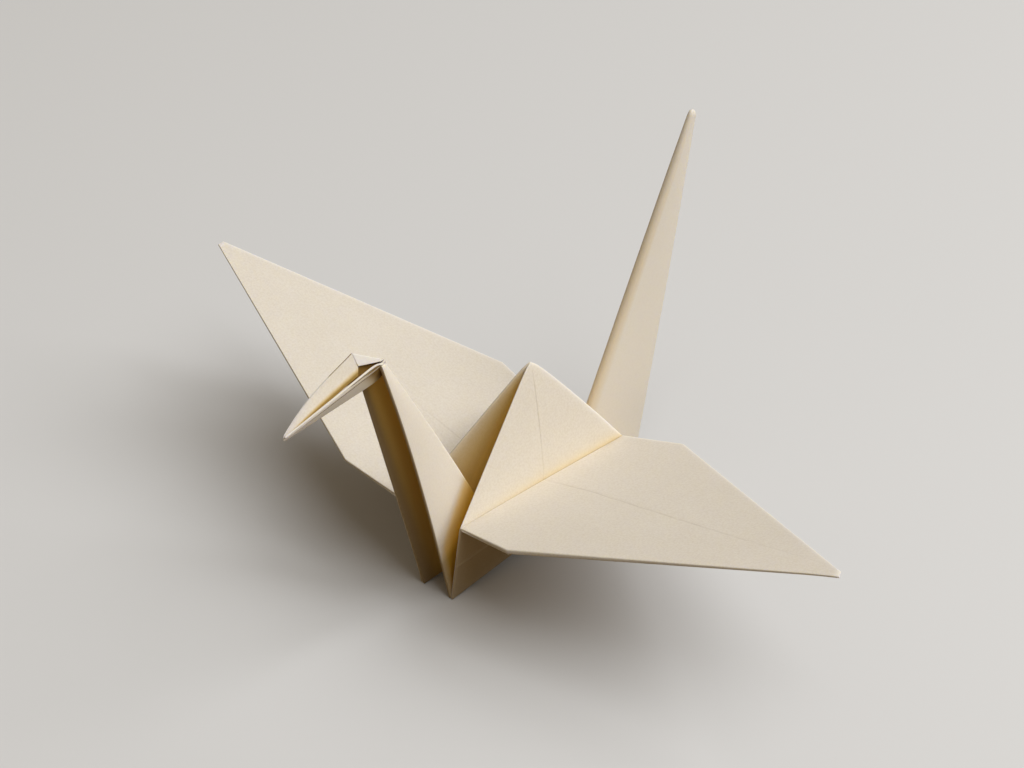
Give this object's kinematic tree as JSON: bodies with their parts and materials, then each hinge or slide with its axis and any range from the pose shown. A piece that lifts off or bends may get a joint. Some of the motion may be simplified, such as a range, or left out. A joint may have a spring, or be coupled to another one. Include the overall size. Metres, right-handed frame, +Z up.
{
  "type": "origami crane",
  "caption": "Traditional paper crane folded from one square sheet: spread pointed wings, V-folded neck with turned-down head, upright tail, open belly.",
  "frame": {"origin": "on the floor, under the middle of the crane's bounding box", "axes": "+X towards the tip of the crane's left wing, -Y the way the beak points, +Z up"},
  "size_m": [0.1288, 0.0878, 0.0635],
  "materials": {
    "paper": "matte"
  },
  "bodies": {
    "root": {"folded_crane": "paper"}
  },
  "joints": []
}
